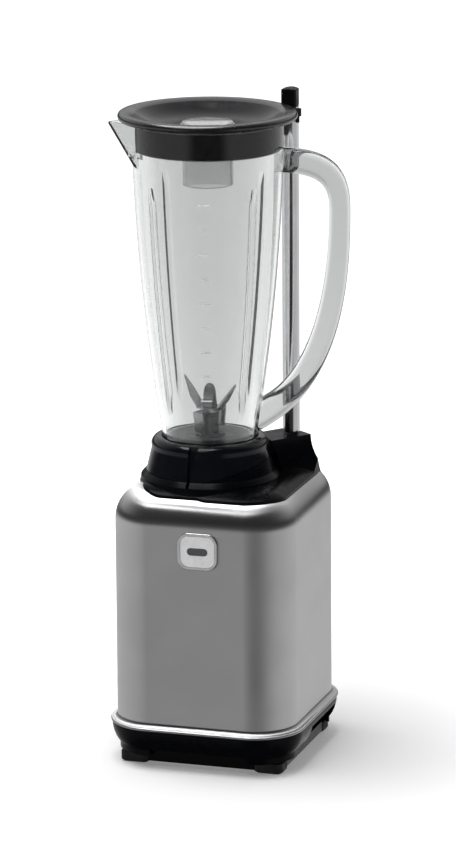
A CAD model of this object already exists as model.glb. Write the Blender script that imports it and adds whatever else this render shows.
"""Countertop blender: looks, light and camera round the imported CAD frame."""
import math

import bmesh
import bpy
from mathutils import Matrix, Vector


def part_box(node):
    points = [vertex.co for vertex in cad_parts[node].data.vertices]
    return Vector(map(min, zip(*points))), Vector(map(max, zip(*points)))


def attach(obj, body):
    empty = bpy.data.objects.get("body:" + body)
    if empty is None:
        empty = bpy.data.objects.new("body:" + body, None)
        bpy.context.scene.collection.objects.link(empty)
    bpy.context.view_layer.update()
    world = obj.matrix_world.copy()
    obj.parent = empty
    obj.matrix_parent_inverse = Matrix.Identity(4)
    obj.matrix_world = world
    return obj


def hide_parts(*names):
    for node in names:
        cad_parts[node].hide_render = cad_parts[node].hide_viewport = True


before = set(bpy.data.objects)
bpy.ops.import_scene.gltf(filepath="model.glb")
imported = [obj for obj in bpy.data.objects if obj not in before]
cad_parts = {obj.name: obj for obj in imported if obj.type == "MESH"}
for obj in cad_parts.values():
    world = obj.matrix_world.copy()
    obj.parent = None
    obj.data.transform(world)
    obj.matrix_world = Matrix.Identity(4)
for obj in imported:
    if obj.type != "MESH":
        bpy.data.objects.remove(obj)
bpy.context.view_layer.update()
scene = bpy.context.scene
MM = 0.001


def middle(node):
    low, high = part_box(node)
    return (low + high) / 2


# Places taken from the frame, in mm
BASE_X = middle("bottom_plate").x / MM
JAR_X, JAR_Y = middle("jar_floor").x / MM, middle("jar_floor").y / MM
POST_X, POST_Y = middle("post").x / MM, middle("post").y / MM
HANDLE_TURN = 17.7

# Steel shell, in mm: it is a section carried round a core rectangle, WALL_OUT outside it
HALF_WIDTH, HALF_DEPTH = 75, 80.5
WALL_OUT = 35
CORE_WIDTH, CORE_DEPTH = 2 * (HALF_WIDTH - WALL_OUT), 2 * (HALF_DEPTH - WALL_OUT)
SHELL_THICK = 1.5
BEND_R, BEND_Z = 28, 200
HEM_R, HEM_Z = 1.5, 33.5
FLARE_R = 3.9

# Controls on the left wall, in mm
CONTROL_Y = 19
KNOB_Z, BUTTON_Z, ROCKER_Z = 156, 127, 99

# Jar, in mm: outside radius at the bottom, what it gains up to the top, and its bulge between
JAR_BOTTOM, JAR_TOP = 268, 487
JAR_R, JAR_GAIN, JAR_BULGE = 38.7, 20.9, 14.4
JAR_WALL = 2.8
CAVITY_FLOOR, MOUTH = 263, 519

# Camera
CAMERA_TURN = math.radians(17.72)
CAMERA_PITCH = math.radians(13.8)
CAMERA_ROLL = math.radians(0.42)
CAMERA_DISTANCE = 3.683
CAMERA_LENS = 192.38
AIM = Vector((0.00357, -0.0429, 0.3066))


def camera():
    """Looks down at the front and the right-hand side."""
    turn, pitch = CAMERA_TURN, CAMERA_PITCH
    right = Vector((math.cos(turn), math.sin(turn), 0))
    back = Vector((math.sin(turn) * math.cos(pitch), -math.cos(turn) * math.cos(pitch), math.sin(pitch)))
    up = back.cross(right)
    place = Vector((BASE_X * MM, 0, AIM.z)) + right * AIM.x + up * AIM.y + back * CAMERA_DISTANCE
    c, s = math.cos(CAMERA_ROLL), math.sin(CAMERA_ROLL)
    axes = Matrix((right * c - up * s, right * s + up * c, back)).transposed()
    data = bpy.data.cameras.new("camera")
    data.lens = CAMERA_LENS
    data.sensor_width = 36
    data.clip_end = 50
    obj = bpy.data.objects.new("camera", data)
    obj.matrix_world = Matrix.Translation(place) @ axes.to_4x4()
    scene.collection.objects.link(obj)
    scene.camera = obj


# ---------------------------------------------------------------- mesh helpers
def make(name, verts, faces, matrix=None):
    """A mesh object from points in mm."""
    mesh = bpy.data.meshes.new(name)
    mesh.from_pydata([tuple(Vector(v) * MM) for v in verts], [], faces)
    if matrix is not None:
        place = matrix.copy()
        place.translation = place.translation * MM
        mesh.transform(place)
    obj = bpy.data.objects.new(name, mesh)
    scene.collection.objects.link(obj)
    bm = bmesh.new()
    bm.from_mesh(mesh)
    bmesh.ops.recalc_face_normals(bm, faces=bm.faces)
    bm.to_mesh(mesh)
    bm.free()
    return obj


def smooth(obj, angle=30):
    obj.data.shade_smooth()
    obj.data.set_sharp_from_angle(angle=math.radians(angle))
    return obj


def at(x=0.0, y=0.0, z=0.0, turn=0.0):
    return Matrix.Translation((x, y, z)) @ Matrix.Rotation(math.radians(turn), 4, "Z")


def jar_place(z=0.0, turn=0.0):
    return at(JAR_X, JAR_Y, z, turn)


def base_place(x=0.0, y=0.0, z=0.0, turn=0.0):
    return at(BASE_X + x, y, z, turn)


def arc(cx, cz, r, a0, a1, n=8):
    """Points along an arc, from one angle to another in degrees."""
    return [(cx + r * math.cos(math.radians(a0 + (a1 - a0) * i / n)),
             cz + r * math.sin(math.radians(a0 + (a1 - a0) * i / n))) for i in range(n + 1)]


def bow(a, b, c, d, n=14):
    """Points along a cubic curve from a to d, drawn towards b and c."""
    out = []
    for i in range(n + 1):
        t = i / n
        s = 1 - t
        w = (s * s * s, 3 * s * s * t, 3 * s * t * t, t * t * t)
        out.append(tuple(sum(w[k] * p[j] for k, p in enumerate((a, b, c, d))) for j in (0, 1)))
    return out


def eased(points, n=5):
    """A closed outline of points (x, z), or (x, z, radius) where an arc takes the corner's place.

    The radius sets where the arc's centre lies; the arc itself is always 1 mm in radius.
    """
    out = []
    count = len(points)
    for i, p in enumerate(points):
        if len(p) < 3 or p[2] <= 0:
            out.append((p[0], p[1]))
            continue
        here = Vector(p[:2])
        before = Vector(points[i - 1][:2]) - here
        after = Vector(points[(i + 1) % count][:2]) - here
        half = before.angle(after) / 2
        cut = min(p[2] / math.tan(half), before.length * 0.49, after.length * 0.49)
        r = cut * math.tan(half)
        centre = here + (before.normalized() + after.normalized()).normalized() * (r / math.sin(half))
        start = here + before.normalized() * cut - centre
        end = here + after.normalized() * cut - centre
        for k in range(n + 1):
            q = start.slerp(end, k / n)
            out.append((centre.x + q.x, centre.y + q.y))
    return out


def lathe(name, outline, matrix, steps=144):
    """A closed outline (r, z) turned about the upright axis."""
    verts, faces = [], []
    rings = []
    for r, z in outline:
        if r < 1e-6:
            rings.append([len(verts)])
            verts.append((0, 0, z))
        else:
            rings.append(list(range(len(verts), len(verts) + steps)))
            for k in range(steps):
                a = 2 * math.pi * k / steps
                verts.append((r * math.cos(a), r * math.sin(a), z))
    for i, ring in enumerate(rings):
        other = rings[(i + 1) % len(rings)]
        if len(ring) == 1 and len(other) == 1:
            continue
        for k in range(steps):
            j = (k + 1) % steps
            a, b = ring[k % len(ring)], ring[j % len(ring)]
            c, d = other[j % len(other)], other[k % len(other)]
            faces.append(list(dict.fromkeys((a, b, c, d))))
    return make(name, verts, faces, matrix)


def rect_ring(w, d, r, steps=12):
    """Points round a rounded rectangle."""
    r = max(r, 0.01)
    out = []
    for i, (sx, sy) in enumerate(((1, 1), (-1, 1), (-1, -1), (1, -1))):
        for k in range(steps + 1):
            a = math.radians(90 * i + 90 * k / steps)
            out.append((sx * (w / 2 - r) + r * math.cos(a), sy * (d / 2 - r) + r * math.sin(a)))
    return out


def stack(name, rings, matrix):
    """Rings of the same number of points, joined one to the next; the ends are closed."""
    n = len(rings[0])
    verts = [p for ring in rings for p in ring]
    faces = []
    for i in range(len(rings) - 1):
        for k in range(n):
            j = (k + 1) % n
            faces.append((i * n + k, i * n + j, (i + 1) * n + j, (i + 1) * n + k))
    faces.append(tuple(range(n))[::-1])
    faces.append(tuple(range((len(rings) - 1) * n, len(rings) * n)))
    return make(name, verts, faces, matrix)


def pad(name, w, d, r, levels, matrix, steps=10):
    """A rounded slab: levels are (set in from the outline, z)."""
    rings = []
    for inset, z in levels:
        rings.append([(x, y, z) for x, y in rect_ring(w - 2 * inset, d - 2 * inset, r - inset, steps)])
    return stack(name, rings, matrix)


def edge_levels(h, r, n=4):
    """Levels of a slab with a rounded upper edge."""
    out = [(0, 0)]
    out += [(r - r * math.cos(math.pi / 2 * k / n), h - r + r * math.sin(math.pi / 2 * k / n))
            for k in range(n + 1)]
    return out


def combine(obj, other, operation):
    """Joins, cuts or trims obj with other, which is used up."""
    mod = obj.modifiers.new("combine", "BOOLEAN")
    mod.operation = operation
    mod.object = other
    mod.solver = "MANIFOLD"
    graph = bpy.context.evaluated_depsgraph_get()
    mesh = bpy.data.meshes.new_from_object(obj.evaluated_get(graph))
    old = obj.data
    obj.modifiers.clear()
    obj.data = mesh
    bpy.data.meshes.remove(old)
    bpy.data.objects.remove(other)
    return obj


def eased_copy(node, width, angle=28, segments=2, name=None):
    """A copy of a CAD node with its sharp edges rounded."""
    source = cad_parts[node]
    mesh = source.data.copy()
    bm = bmesh.new()
    bm.from_mesh(mesh)
    bmesh.ops.remove_doubles(bm, verts=bm.verts, dist=2e-6)
    bmesh.ops.dissolve_limit(bm, angle_limit=math.radians(0.6), verts=bm.verts, edges=bm.edges)
    bmesh.ops.recalc_face_normals(bm, faces=bm.faces)
    bm.to_mesh(mesh)
    bm.free()
    obj = bpy.data.objects.new(name or node + "_piece", mesh)
    scene.collection.objects.link(obj)
    if "custom_normal" in mesh.attributes:
        mesh.attributes.remove(mesh.attributes["custom_normal"])
    smooth(obj, angle)
    mod = obj.modifiers.new("edges", "BEVEL")
    mod.width = width * MM
    mod.segments = segments
    mod.limit_method = "ANGLE"
    mod.angle_limit = math.radians(angle)
    mod.use_clamp_overlap = True
    mod.miter_outer = "MITER_ARC"
    return obj


def finish_piece(obj, body, slot_name, *nodes, mat=None):
    """Material, body, the record's slot if it has one, and the CAD nodes that the piece stands for."""
    if mat is not None:
        obj.data.materials.clear()
        obj.data.materials.append(mat)
    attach(obj, body)
    if nodes:
        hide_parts(*nodes)
    return obj


# ---------------------------------------------------------------- materials
class Nodes:
    """Short calls for building a node tree."""

    def __init__(self, material):
        self.tree = material.node_tree
        self.shader = self.tree.nodes["Principled BSDF"]

    def new(self, kind, **values):
        node = self.tree.nodes.new(kind)
        for key, value in values.items():
            if key in node.inputs:
                node.inputs[key].default_value = value
            else:
                setattr(node, key, value)
        return node

    def link(self, a, b):
        self.tree.links.new(a, b)

    def place(self, scale=(1, 1, 1)):
        coord = self.new("ShaderNodeTexCoord")
        mapping = self.new("ShaderNodeMapping")
        mapping.inputs["Scale"].default_value = scale
        self.link(coord.outputs["Object"], mapping.inputs["Vector"])
        return mapping.outputs["Vector"]

    def noise(self, scale, stretch=(1, 1, 1), detail=3, rough=0.55):
        node = self.new("ShaderNodeTexNoise", Scale=scale, Detail=detail, Roughness=rough)
        self.link(self.place(stretch), node.inputs["Vector"])
        return node.outputs["Fac"]

    def spread(self, fac, low, high):
        node = self.new("ShaderNodeMapRange")
        node.inputs["From Min"].default_value = 0.3
        node.inputs["From Max"].default_value = 0.7
        node.inputs["To Min"].default_value = low
        node.inputs["To Max"].default_value = high
        self.link(fac, node.inputs["Value"])
        return node.outputs["Result"]

    def tint(self, fac, dark, light, start=0.3, end=0.7):
        node = self.new("ShaderNodeValToRGB")
        node.color_ramp.elements[0].position = start
        node.color_ramp.elements[1].position = end
        node.color_ramp.elements[0].color = (*dark, 1)
        node.color_ramp.elements[1].color = (*light, 1)
        self.link(fac, node.inputs["Fac"])
        return node.outputs["Color"]

    def bump(self, fac, distance):
        node = self.new("ShaderNodeBump", Strength=1.0, Distance=distance)
        self.link(fac, node.inputs["Height"])
        return node.outputs["Normal"]


def material(name, color, rough, metal=0.0, spread=0.12, rough_spread=0.25, scale=60, stretch=(1, 1, 1),
             bump=0.0, bump_scale=900, bump_stretch=(1, 1, 1), edge=None, **sockets):
    """Principled material that varies a little over the piece, or from square on to its edge colour."""
    m = bpy.data.materials.new(name)
    m.use_nodes = True
    n = Nodes(m)
    if edge is None:
        dark = tuple(c * (1 - spread) for c in color)
        light = tuple(min(c * (1 + spread), 1) for c in color)
        shade = n.tint(n.noise(scale, stretch), dark, light)
    else:
        weight = n.new("ShaderNodeLayerWeight", Blend=0.5)
        shade = n.tint(weight.outputs["Facing"], color, edge, 0.1, 0.5)
    n.link(shade, n.shader.inputs["Base Color"])
    n.link(n.spread(n.noise(scale * 2.3, stretch), rough * (1 - rough_spread), rough * (1 + rough_spread)),
           n.shader.inputs["Roughness"])
    n.shader.inputs["Metallic"].default_value = metal
    if bump > 0:
        n.link(n.bump(n.noise(bump_scale, bump_stretch, 2), bump * MM), n.shader.inputs["Normal"])
    for key, value in sockets.items():
        n.shader.inputs[key.replace("_", " ")].default_value = value
    return m


def steel_material():
    m = material("satin_steel", (0.68, 0.68, 0.69), 0.36, 1.0, spread=0.05, rough_spread=0.08, scale=9,
                 bump=0.004, bump_scale=1400, bump_stretch=(1, 1, 0.02), Anisotropic=0.94)
    n = Nodes(m)
    tangent = n.new("ShaderNodeTangent", direction_type="RADIAL", axis="Z")
    n.link(tangent.outputs["Tangent"], n.shader.inputs["Tangent"])
    return m


def clear_material(name, facing, edge, clearness=1.0):
    """Clear plastic, greyer where it is seen square on."""
    return material(name, facing, 0.012, rough_spread=0.6, scale=25, edge=edge,
                    Transmission_Weight=clearness, IOR=1.52)


STEEL = steel_material()
GLOSS = material("black_gloss", (0.0035, 0.004, 0.0058), 0.13, spread=0.2, bump=0.003, bump_scale=500,
                 Specular_IOR_Level=0.25)
DECK = material("black_satin", (0.002, 0.0023, 0.0034), 0.24, spread=0.2, bump=0.004, bump_scale=700,
                Specular_IOR_Level=0.06)
LID = material("lid_black", (0.0035, 0.0038, 0.005), 0.2, spread=0.2, bump=0.003, bump_scale=1200,
               Specular_IOR_Level=0.3)
RIM = material("lid_rim", (0.006, 0.0063, 0.0075), 0.24, spread=0.2, bump=0.003, bump_scale=1200,
               Specular_IOR_Level=1.0)
KNOB = material("knob_black", (0.018, 0.018, 0.02), 0.32, bump=0.01, bump_scale=900)
SKIRT = material("lid_skirt", (0.002, 0.0022, 0.003), 0.16, spread=0.2, bump=0.003, bump_scale=1200,
                 Specular_IOR_Level=0.08)
MATT = material("matt_black", (0.0028, 0.0028, 0.0034), 0.4, bump=0.006, bump_scale=1500,
                Specular_IOR_Level=0.14)
RUBBER = material("rubber", (0.012, 0.012, 0.013), 0.7, bump=0.03, bump_scale=900)
CLEAR = clear_material("jar_clear", (0.64, 0.65, 0.647), (0.88, 0.89, 0.89))
GRIP = clear_material("handle_clear", (0.42, 0.428, 0.427), (0.9, 0.9, 0.9))
CUP = clear_material("cap_clear", (0.95, 0.955, 0.95), (0.95, 0.955, 0.95), 0.86)
POST = material("post_steel", (0.74, 0.74, 0.755), 0.16, 1.0, spread=0.04, scale=20, bump=0.002,
                bump_scale=1200, bump_stretch=(1, 1, 0.03))
BLADE = material("blade_steel", (0.36, 0.36, 0.37), 0.2, 1.0, spread=0.1, bump=0.01, bump_scale=1500,
                 bump_stretch=(1, 0.1, 1))
FLOOR_GREY = material("floor_grey", (0.05, 0.052, 0.056), 0.36, 0.35, spread=0.15, bump=0.004)
NUT = material("nut_steel", (0.2, 0.2, 0.205), 0.18, 1.0, spread=0.35, scale=260)
STEM = material("stem", (0.03, 0.031, 0.034), 0.3, 0.2, spread=0.15)
PLATE = material("badge_metal", (0.72, 0.72, 0.73), 0.22, 1.0, spread=0.04, scale=120, bump=0.003,
                 bump_stretch=(0.03, 1, 1))
ENAMEL = material("badge_field", (0.62, 0.62, 0.63), 0.3, 0.0, spread=0.05, scale=200, Coat_Weight=0.6)
WHITE = material("print_white", (0.75, 0.75, 0.74), 0.5)
TICK = material("moulded_tick", (0.9, 0.9, 0.9), 0.4, Transmission_Weight=0.4)
DARK = material("badge_bar", (0.06, 0.062, 0.066), 0.35)
BUTTON = material("button_grey", (0.2, 0.205, 0.21), 0.42, bump=0.01)
ZINC = material("zinc", (0.5, 0.5, 0.52), 0.3, 1.0, spread=0.1)
SHEET = material("plate_steel", (0.45, 0.46, 0.47), 0.42, 1.0, spread=0.12, bump=0.01)
CAST = material("cast_aluminium", (0.42, 0.43, 0.44), 0.5, 1.0, spread=0.1, bump=0.05, bump_scale=700)
GROUND = material("ground_steel", (0.55, 0.55, 0.57), 0.2, 1.0)
LAMINATION = material("lamination", (0.14, 0.14, 0.15), 0.5, 0.8, bump=0.03, bump_scale=1500,
                      bump_stretch=(0.02, 0.02, 1))
COPPER = material("copper", (0.5, 0.17, 0.06), 0.35, 1.0, spread=0.2, bump=0.08, bump_scale=800)
BRASS = material("brass", (0.62, 0.42, 0.14), 0.3, 1.0)
CARBON = material("carbon", (0.02, 0.02, 0.02), 0.6)
FAN = material("fan_plastic", (0.35, 0.35, 0.34), 0.45)
BOARD = material("board", (0.015, 0.09, 0.03), 0.35, spread=0.3, scale=400)
PARTS = material("board_parts", (0.04, 0.05, 0.08), 0.4, spread=0.4, scale=150)
GASKET = material("gasket", (0.03, 0.03, 0.032), 0.6)

CARRIED = {
    "feet": RUBBER, "isolators": RUBBER, "seat_pad": RUBBER, "cord_gland": RUBBER,
    "bottom_plate": SHEET, "motor_plate": SHEET, "clamp_ring": SHEET,
    "plate_screws": ZINC, "ring_screws": ZINC, "isolator_screws": ZINC, "motor_bolts": ZINC,
    "base_tray": DECK, "top_moulding": DECK, "jar_collar": GLOSS, "housing": STEEL, "badge": PLATE,
    "control_panel": MATT, "rocker_frame": MATT, "pulse_switch": MATT, "potentiometer": MATT,
    "power_rocker": GLOSS, "speed_knob": KNOB, "pulse_button": BUTTON, "post": POST, "post_cap": MATT,
    "lid_sensor": BOARD, "upper_bracket": CAST, "lower_bracket": CAST, "upper_bearing": GROUND,
    "lower_bearing": GROUND, "blade_bearings": GROUND, "motor_shaft": GROUND, "blade_shaft": GROUND,
    "stator_core": LAMINATION, "rotor_core": LAMINATION, "field_windings": COPPER,
    "rotor_windings": COPPER, "commutator": COPPER, "brush_holders": BRASS, "carbon_brushes": CARBON,
    "fan_shroud": FAN, "cooling_fan": FAN, "control_board": BOARD, "board_parts": PARTS,
    "drive_coupling": RUBBER, "jar_coupling": ZINC, "jar": CLEAR, "filler_cap": CUP,
    "jar_gasket": GASKET, "lid_seal": GASKET, "blade_seal": GASKET, "jar_floor": FLOOR_GREY,
    "bearing_housing": STEM, "lower_blade": BLADE, "upper_blade": BLADE, "acorn_nut": NUT,
    "lid": LID, "lid_magnet": ZINC,
}
for name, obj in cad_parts.items():
    obj.data.materials.clear()
    obj.data.materials.append(CARRIED[name])


# ---------------------------------------------------------------- studio
def studio():
    """White floor, a pale surround that only the camera sees, and two soft boxes overhead."""
    m = bpy.data.materials.new("studio_floor")
    m.use_nodes = True
    n = Nodes(m)
    n.shader.inputs["Base Color"].default_value = (0.9, 0.9, 0.9, 1)
    n.shader.inputs["Roughness"].default_value = 0.9
    n.shader.inputs["Specular IOR Level"].default_value = 0.0
    length = n.new("ShaderNodeVectorMath", operation="LENGTH")
    n.link(n.place(), length.inputs[0])
    glow = n.new("ShaderNodeMapRange", interpolation_type="SMOOTHSTEP")
    glow.inputs["From Min"].default_value = 0.12
    glow.inputs["From Max"].default_value = 0.55
    glow.inputs["To Min"].default_value = 0.22
    glow.inputs["To Max"].default_value = 0.94
    n.link(length.outputs["Value"], glow.inputs["Value"])
    n.shader.inputs["Emission Color"].default_value = (1, 1, 1, 1)
    n.link(glow.outputs["Result"], n.shader.inputs["Emission Strength"])
    size = 14000
    floor = make("floor", [(-size, -size, 0), (size, -size, 0), (size, size, 0), (-size, size, 0)],
                 [(0, 1, 2, 3)])
    floor.data.materials.append(m)
    floor.visible_glossy = False

    pale = bpy.data.materials.new("studio_surround")
    pale.use_nodes = True
    shader = pale.node_tree.nodes["Principled BSDF"]
    shader.inputs["Base Color"].default_value = (0, 0, 0, 1)
    shader.inputs["Emission Color"].default_value = (1, 1, 1, 1)
    shader.inputs["Emission Strength"].default_value = 1.0
    around = [(size * 0.7 * math.cos(2 * math.pi * k / 64), size * 0.7 * math.sin(2 * math.pi * k / 64))
              for k in range(64)]
    wall = stack("surround", [[(x, y, z) for x, y in around] for z in (-10, size)], Matrix.Identity(4))
    wall.data.materials.append(pale)
    for ray in ("visible_diffuse", "visible_glossy", "visible_shadow"):
        setattr(wall, ray, False)

    world = bpy.data.worlds.new("studio")
    world.use_nodes = True
    scene.world = world
    tree = world.node_tree
    back = tree.nodes["Background"]
    coord = tree.nodes.new("ShaderNodeTexCoord")
    split = tree.nodes.new("ShaderNodeSeparateXYZ")
    tree.links.new(coord.outputs["Generated"], split.inputs[0])

    def dot(x, y, z):
        node = tree.nodes.new("ShaderNodeVectorMath")
        node.operation = "DOT_PRODUCT"
        tree.links.new(coord.outputs["Generated"], node.inputs[0])
        node.inputs[1].default_value = (x, y, z)
        return node.outputs["Value"]

    def ramp(value, low, high, a, b):
        node = tree.nodes.new("ShaderNodeMapRange")
        node.interpolation_type = "SMOOTHSTEP"
        for key, v in (("From Min", low), ("From Max", high), ("To Min", a), ("To Max", b)):
            if isinstance(v, (int, float)):
                node.inputs[key].default_value = v
            else:
                tree.links.new(v, node.inputs[key])
        tree.links.new(value, node.inputs["Value"])
        return node.outputs["Result"]

    # Strength by direction: dark in front and overhead, pale behind and low at the sides
    away = dot(-math.sin(CAMERA_TURN), math.cos(CAMERA_TURN), 0)
    sideways = tree.nodes.new("ShaderNodeMath")
    sideways.operation = "ABSOLUTE"
    tree.links.new(dot(math.cos(CAMERA_TURN), math.sin(CAMERA_TURN), 0), sideways.inputs[0])
    front = ramp(sideways.outputs[0], 0.28, 0.6, 0.03, 0.56)
    below = ramp(away, -0.4, 0.6, front, 0.72)
    below = ramp(split.outputs["Z"], -0.8, -0.4, 0.03, below)
    above = ramp(away, -0.3, 0.7, 0.03, 0.72)
    dip = ramp(split.outputs["Z"], -0.16, -0.03, below, 0.05)
    level = ramp(split.outputs["Z"], 0.08, 0.2, dip, above)
    tree.links.new(level, back.inputs["Strength"])
    back.inputs["Color"].default_value = (1, 1, 1, 1)

    soft_box("top_light", (-0.3, -0.16, 1.6), (-0.3, -0.16, 0), (1.06, 0.86), 19)
    soft_box("front_light", (-0.32, -1.16, 1.76), (0, 0, 0.3), (1.0, 0.24), 4.5)
    scene.view_settings.view_transform = "Standard"


def soft_box(name, place, target, size, power):
    data = bpy.data.lights.new(name, "AREA")
    data.shape = "RECTANGLE"
    data.size, data.size_y = size
    data.energy = power
    obj = bpy.data.objects.new(name, data)
    obj.location = place
    obj.rotation_euler = (Vector(target) - Vector(place)).to_track_quat("-Z", "Y").to_euler()
    scene.collection.objects.link(obj)


# ---------------------------------------------------------------- pieces
def left_place(y, z):
    """On the left wall of the housing, +Z out of the wall, +X to the back and +Y down it."""
    return (Matrix.Translation((BASE_X - HALF_WIDTH, y, z)) @ Matrix.Rotation(math.radians(-90), 4, "Y")
            @ Matrix.Rotation(math.radians(90), 4, "Z"))


def front_place(x, z):
    """On the front wall, +Z out of the wall and +Y up it."""
    return Matrix.Translation((BASE_X + x, -HALF_DEPTH, z)) @ Matrix.Rotation(math.radians(90), 4, "X")


def even_normals(obj, angle=30):
    smooth(obj, angle)
    mod = obj.modifiers.new("normals", "WEIGHTED_NORMAL")
    mod.keep_sharp = True
    mod.weight = 60
    return obj


def housing_piece():
    """The steel shell: a section carried round a rounded rectangle, with its openings cut."""
    bend_out = WALL_OUT - BEND_R
    hem_out = WALL_OUT + FLARE_R
    inside = WALL_OUT - SHELL_THICK
    wall_middle = 120
    path = arc(bend_out, BEND_Z, BEND_R, 90, 0, 16)
    path += [(WALL_OUT, wall_middle)]
    path += arc(hem_out, HEM_Z + HEM_R + FLARE_R, FLARE_R, 180, 270, 8)
    path += arc(hem_out, HEM_Z, HEM_R, 90, -90, 10)[1:]
    path += [(inside, HEM_Z - HEM_R), (inside, wall_middle)]
    path += arc(bend_out, BEND_Z, BEND_R - SHELL_THICK, 0, 90, 10)
    rings = [[(x, y, z) for x, y in rect_ring(CORE_WIDTH + 2 * out, CORE_DEPTH + 2 * out, out, 18)]
             for out, z in path]
    shell = stack("housing_shell", rings, base_place())
    well_r = 48.5
    well = lathe("cut", [(0, 222), (well_r, 222), (well_r, 233), (0, 233)], jar_place())
    combine(shell, well, "DIFFERENCE")
    post = at(POST_X, POST_Y)
    combine(shell, lathe("cut", [(0, 208), (5, 208), (5, 240), (0, 240)], post, 32), "DIFFERENCE")
    for z, r in ((KNOB_Z, 4.2), (BUTTON_Z, 8.4)):
        hole = lathe("cut", [(0, -10), (r, -10), (r, 10), (0, 10)], left_place(CONTROL_Y, z), 48)
        combine(shell, hole, "DIFFERENCE")
    rocker = pad("cut", 22.2, 30.2, 1, [(0, -10), (0, 10)], left_place(CONTROL_Y, ROCKER_Z))
    combine(shell, rocker, "DIFFERENCE")
    gland = base_place(24, HALF_DEPTH, 58) @ Matrix.Rotation(math.radians(-90), 4, "X")
    combine(shell, lathe("cut", [(0, -10), (8.2, -10), (8.2, 10), (0, 10)], gland, 48), "DIFFERENCE")
    even_normals(shell, 35)
    finish_piece(shell, "base", "satin_steel", "housing", mat=STEEL)


def badge_piece():
    """A plain plate with a raised border round an enamelled field."""
    place = front_place(3.5, 183.4)
    plate = pad("badge_plate", 33, 30, 9, edge_levels(1.4, 0.5), place)
    combine(plate, pad("cut", 28.4, 25.4, 6.7, [(0, 1.0), (0, 3)], place), "DIFFERENCE")
    finish_piece(even_normals(plate), "base", "badge_metal", "badge", mat=PLATE)
    field = pad("badge_field", 28.2, 25.2, 6.6, edge_levels(1.25, 0.35), place)
    combine(field, pad("cut", 17.2, 6.2, 3.1, [(0, 1.0), (0, 3)], place), "DIFFERENCE")
    finish_piece(even_normals(field), "base", None, mat=ENAMEL)
    bar = pad("badge_bar", 17, 6, 3, edge_levels(1.35, 0.4), place)
    finish_piece(even_normals(bar), "base", None, mat=DARK)


def jar_out(z):
    """Outside radius of the jar at a height."""
    t = (z - JAR_BOTTOM) / (JAR_TOP - JAR_BOTTOM)
    return JAR_R + JAR_GAIN * t + JAR_BULGE * t * (1 - t)


def lid_piece():
    """The dished lid, and a sleeve that fills the jar's width, set 0.05 mm into its wall."""
    lid = eased_copy("lid", 0.3, name="lid_moulding")
    inner = 55.6
    inset = JAR_WALL - 0.05
    outline = [(inner, 494.6), (jar_out(495) - 3.2, 494.6), (jar_out(495) - inset, 495.2)]
    outline += [(jar_out(z) - inset, z) for z in (500, 505, 510, 515)] + [(inner, 515)]
    sleeve = smooth(lathe("lid_sleeve", outline, jar_place(), 192))
    finish_piece(sleeve, "lid", "lid_plastic", mat=SKIRT)
    even_normals(lid, 28)
    finish_piece(lid, "lid", "lid_plastic", "lid", mat=LID)
    lid.data.materials.append(RIM)
    rim_z, rim_r = 519, 58
    for face in lid.data.polygons:
        spot = face.center / MM
        face.material_index = int(spot.z > rim_z and math.hypot(spot.x - JAR_X, spot.y - JAR_Y) > rim_r)


def jar_line(inset, z0, z1, n=36):
    """The jar's outline between two heights, set in from its outside."""
    return [(jar_out(z0 + (z1 - z0) * i / n) - inset, z0 + (z1 - z0) * i / n) for i in range(n + 1)]


def handle_grip(place):
    """The open-ended grip: a rounded bar carried between an outer and an inner curve."""
    outer = bow((48, 494.2), (92, 496.5), (112.4, 482), (112.4, 447), 20)
    outer += bow((112.4, 447), (112.4, 398), (110.4, 300), (38, 265.5), 32)[1:]
    inner = bow((48, 475.6), (88, 475.6), (95.6, 466), (95.6, 444), 20)
    inner += bow((95.6, 444), (95.6, 372), (77, 306), (38, 291.5), 32)[1:]
    rings = []
    for a, b in zip(outer, inner):
        a, b = Vector(a), Vector(b)
        mid, half = (a + b) / 2, (a - b) / 2
        width = half.length
        across = half.normalized()
        rings.append([(mid.x + across.x * u, v, mid.y + across.y * u)
                      for u, v in rect_ring(2 * width, 17, 5.2, 8)])
    return stack("grip", rings, place)


def lip(place, back):
    """The V-shaped pouring lip, or its hollow when moved back."""
    plan = [(40, 26), (58, 19), (78, 1.2), (78, -1.2), (58, -19), (40, -26)]
    top = 518 if back else 516.4
    prism = stack("lip", [[(x - back, y, z) for x, y in plan] for z in (460, top)], place)
    side = [(38, 464), (jar_out(487) - 1, 484.5), (78, 515), (78, 519), (38, 519)]
    wedge = stack("lip_side", [[(x - back, y, z) for x, z in side] for y in (-30, 30)], place)
    return combine(prism, wedge, "INTERSECT")


def rib(place):
    """One inner rib: a rounded nose that fades into the wall at both ends."""
    low, high, steps = 285, 470, 30
    half_width, height, nose_r = 3, 3.4, 0.9
    angles = [math.radians(-90 + 18 * j) for j in range(11)]
    nose = [(nose_r - nose_r * math.cos(t), half_width * math.sin(t)) for t in angles]
    rings = []
    for i in range(steps + 1):
        z = low + (high - low) * i / steps
        depth = height * min(1, (i + 0.05) / 3, (steps + 0.05 - i) / 2)
        wall = jar_out(z)
        rings.append([(wall - JAR_WALL - depth + u, v, z) for u, v in nose]
                     + [(wall - 1.6, half_width, z), (wall - 1.6, -half_width, z)])
    return stack("rib", rings, place)


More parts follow.
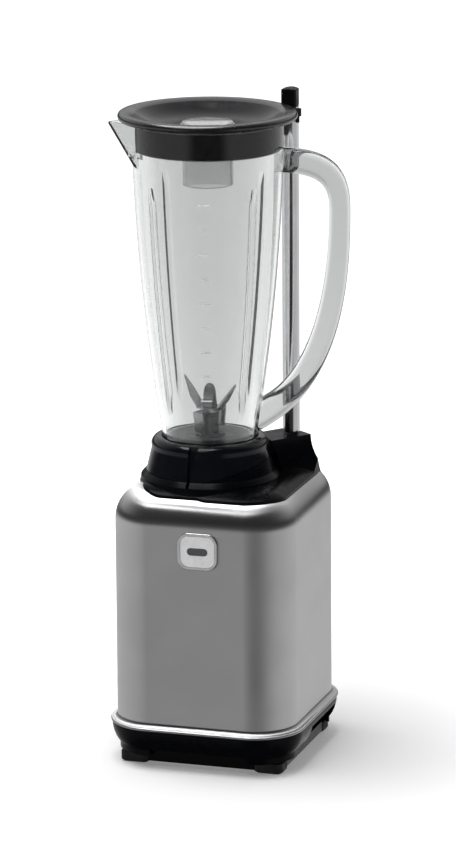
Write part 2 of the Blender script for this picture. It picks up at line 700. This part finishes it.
def jar_piece():
    """Moulded jar with four ribs inside, its lip and its grip."""
    place = jar_place(0, HANDLE_TURN)
    spout_place = jar_place(0, HANDLE_TURN + 180)
    outside = [(0, 258), (38.6, 258), (38.6, 262)] + jar_line(0, 263.5, 516.4)
    outside += [(jar_out(517) - 0.6, 517), (0, 517)]
    body = lathe("jar_moulding", outside, place, 180)
    combine(body, lip(spout_place, 0), "UNION")
    combine(body, handle_grip(place), "UNION")
    inside = [(0, CAVITY_FLOOR), (33.6, CAVITY_FLOOR), (35.2, CAVITY_FLOOR + 0.5)]
    inside += jar_line(JAR_WALL, CAVITY_FLOOR + 2, MOUTH) + [(0, MOUTH)]
    combine(body, lathe("hollow", inside, place, 180), "DIFFERENCE")
    bore_r, bore_top = 35.6, CAVITY_FLOOR + 0.01
    bore = lathe("bore", [(0, 250), (bore_r, 250), (bore_r, bore_top), (0, bore_top)], place, 180)
    combine(body, bore, "DIFFERENCE")
    combine(body, lip(spout_place, 2.6), "DIFFERENCE")
    for k in range(4):
        combine(body, rib(jar_place(0, HANDLE_TURN + 90 * k - 51)), "UNION")
    body.data.materials.clear()
    even_normals(body, 32)
    body.data.materials.append(CLEAR)
    body.data.materials.append(GRIP)
    turn = Matrix.Rotation(math.radians(-HANDLE_TURN), 3, "Z")
    for face in body.data.polygons:
        spot = turn @ (face.center / MM - Vector((JAR_X, JAR_Y, 0)))
        if spot.x > 0 and math.hypot(spot.x, spot.y) > jar_out(spot.z) + 0.6 and spot.z < 500:
            face.material_index = 1
    finish_piece(body, "jar", "clear_plastic", "jar")


def plug_piece():
    """The clear filler cap: a flanged cup."""
    outline = eased([(0, 515.6), (20.4, 515.6, 0.7), (20.4, 514.2, 0.3), (21.2, 514.2, 0.4),
                     (21.2, 512.8, 0.3), (20, 512.8), (20, 466, 0.8), (18, 466, 0.8),
                     (18, 513.4, 2.0), (0, 513.4)])
    cup = smooth(lathe("cap_cup", outline, jar_place()), 40)
    finish_piece(cup, "plug", "cap_clear", "filler_cap", mat=CUP)


def shell_top(x, y):
    """Height of the steel shell's top at a point of the base."""
    u, v = abs(x) - CORE_WIDTH / 2, abs(y) - CORE_DEPTH / 2
    out = math.hypot(u, v) if u > 0 and v > 0 else max(u, v, 0)
    past_bend = max(0, out - (WALL_OUT - BEND_R))
    return BEND_Z + math.sqrt(max(BEND_R ** 2 - past_bend ** 2, 0))


def deck_apron():
    """The deck's front corner, which follows the shell down over its rounded edge."""
    width, depth, corner = 92, 59.8, 21
    centre_x, centre_y = -5, -39.9
    well_r = 54.5
    outline = rect_ring(width, depth, corner, 10)
    dense = []
    for (x0, y0), (x1, y1) in zip(outline, outline[1:] + outline[:1]):
        cuts = max(1, round(math.hypot(x1 - x0, y1 - y0) / 4))
        dense += [(x0 + (x1 - x0) * k / cuts, y0 + (y1 - y0) * k / cuts) for k in range(cuts)]
    levels = [(share, 1.9) for share in (0.25, 0.5, 0.7, 0.8, 0.88, 0.94)]
    levels += [(0.975, 1.85), (0.99, 1.5), (1, 0.9), (1, -0.5)]
    levels += [(share, -0.6) for share in (0.97, 0.9, 0.8, 0.6, 0.25)]
    rings = []
    for share, lift in levels:
        ring = [(centre_x + x * share, centre_y + y * share) for x, y in dense]
        rings.append([(x, y, shell_top(x, y) + lift) for x, y in ring])
    apron = stack("deck_apron", rings, base_place())
    well = lathe("cut", [(0, 200), (well_r, 200), (well_r, 260), (0, 260)], jar_place())
    combine(apron, well, "DIFFERENCE")
    finish_piece(smooth(apron, 50), "base", "black_plastic", mat=DECK)


def panel_marks():
    """Ticks round the knob and a line on it."""
    knob = left_place(CONTROL_Y, KNOB_Z)
    dial_r, panel_top, knob_top = 18.4, 2.45, 15.25
    for k in range(11):
        a = math.radians(-45 + 27 * k)
        place = (knob @ Matrix.Translation((math.cos(a) * dial_r, math.sin(a) * dial_r, panel_top))
                 @ Matrix.Rotation(a, 4, "Z"))
        length = 3.6 if k in (0, 10) else 2.4
        mark = pad("dial_mark_%02d" % k, length, 0.8, 0.3, edge_levels(0.22, 0.08), place, 4)
        finish_piece(mark, "base", None, mat=WHITE)
    line = knob @ Matrix.Translation((0, 8, knob_top))
    finish_piece(pad("knob_line", 1.2, 7.6, 0.5, edge_levels(0.4, 0.1), line, 4), "knob", None, mat=WHITE)


def plain_pieces():
    """CAD shapes kept, with their sharp edges eased."""
    for node, body, slot_name, width in (
            ("post_cap", "base", "cap_plastic", 0.8),
            ("control_panel", "base", "panel_plastic", 0.7),
            ("rocker_frame", "base", "panel_plastic", 0.4),
            ("power_rocker", "rocker", "rocker_plastic", 0.7),
            ("pulse_button", "button", "button_plastic", 0.9),
            ("speed_knob", "knob", "knob_plastic", 0.5),
            ("lower_blade", "blades", "blade_steel", 0.25),
            ("upper_blade", "blades", "blade_steel", 0.25),
            ("acorn_nut", "blades", "blade_steel", 0.5),
            ("jar_collar", "jar", "black_plastic", 0.55),
            ("top_moulding", "base", "black_plastic", 0.5),
            ("feet", "base", "rubber_black", 0.8)):
        piece = eased_copy(node, width)
        even_normals(piece, 28)
        finish_piece(piece, body, slot_name, node, mat=CARRIED[node])


def graduation():
    """Moulded ticks up the front of the jar."""
    lowest, spacing, turn = 300, 20, -75.5
    for k in range(9):
        z = lowest + spacing * k
        r = jar_out(z) - 0.05
        place = jar_place(z, turn) @ Matrix.Translation((r, 0, 0)) @ Matrix.Rotation(math.radians(90), 4, "Y")
        wide = 9 if k % 2 == 0 else 5.5
        tick = pad("jar_tick_%d" % k, 1.0, wide, 0.45, edge_levels(0.35, 0.15), place, 4)
        finish_piece(smooth(tick), "jar", "clear_plastic", mat=TICK)


camera()
studio()

housing_piece()
badge_piece()
lid_piece()
jar_piece()
plug_piece()
deck_apron()
panel_marks()
plain_pieces()
graduation()
even_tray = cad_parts["base_tray"].modifiers.new("normals", "WEIGHTED_NORMAL")
even_tray.keep_sharp = True
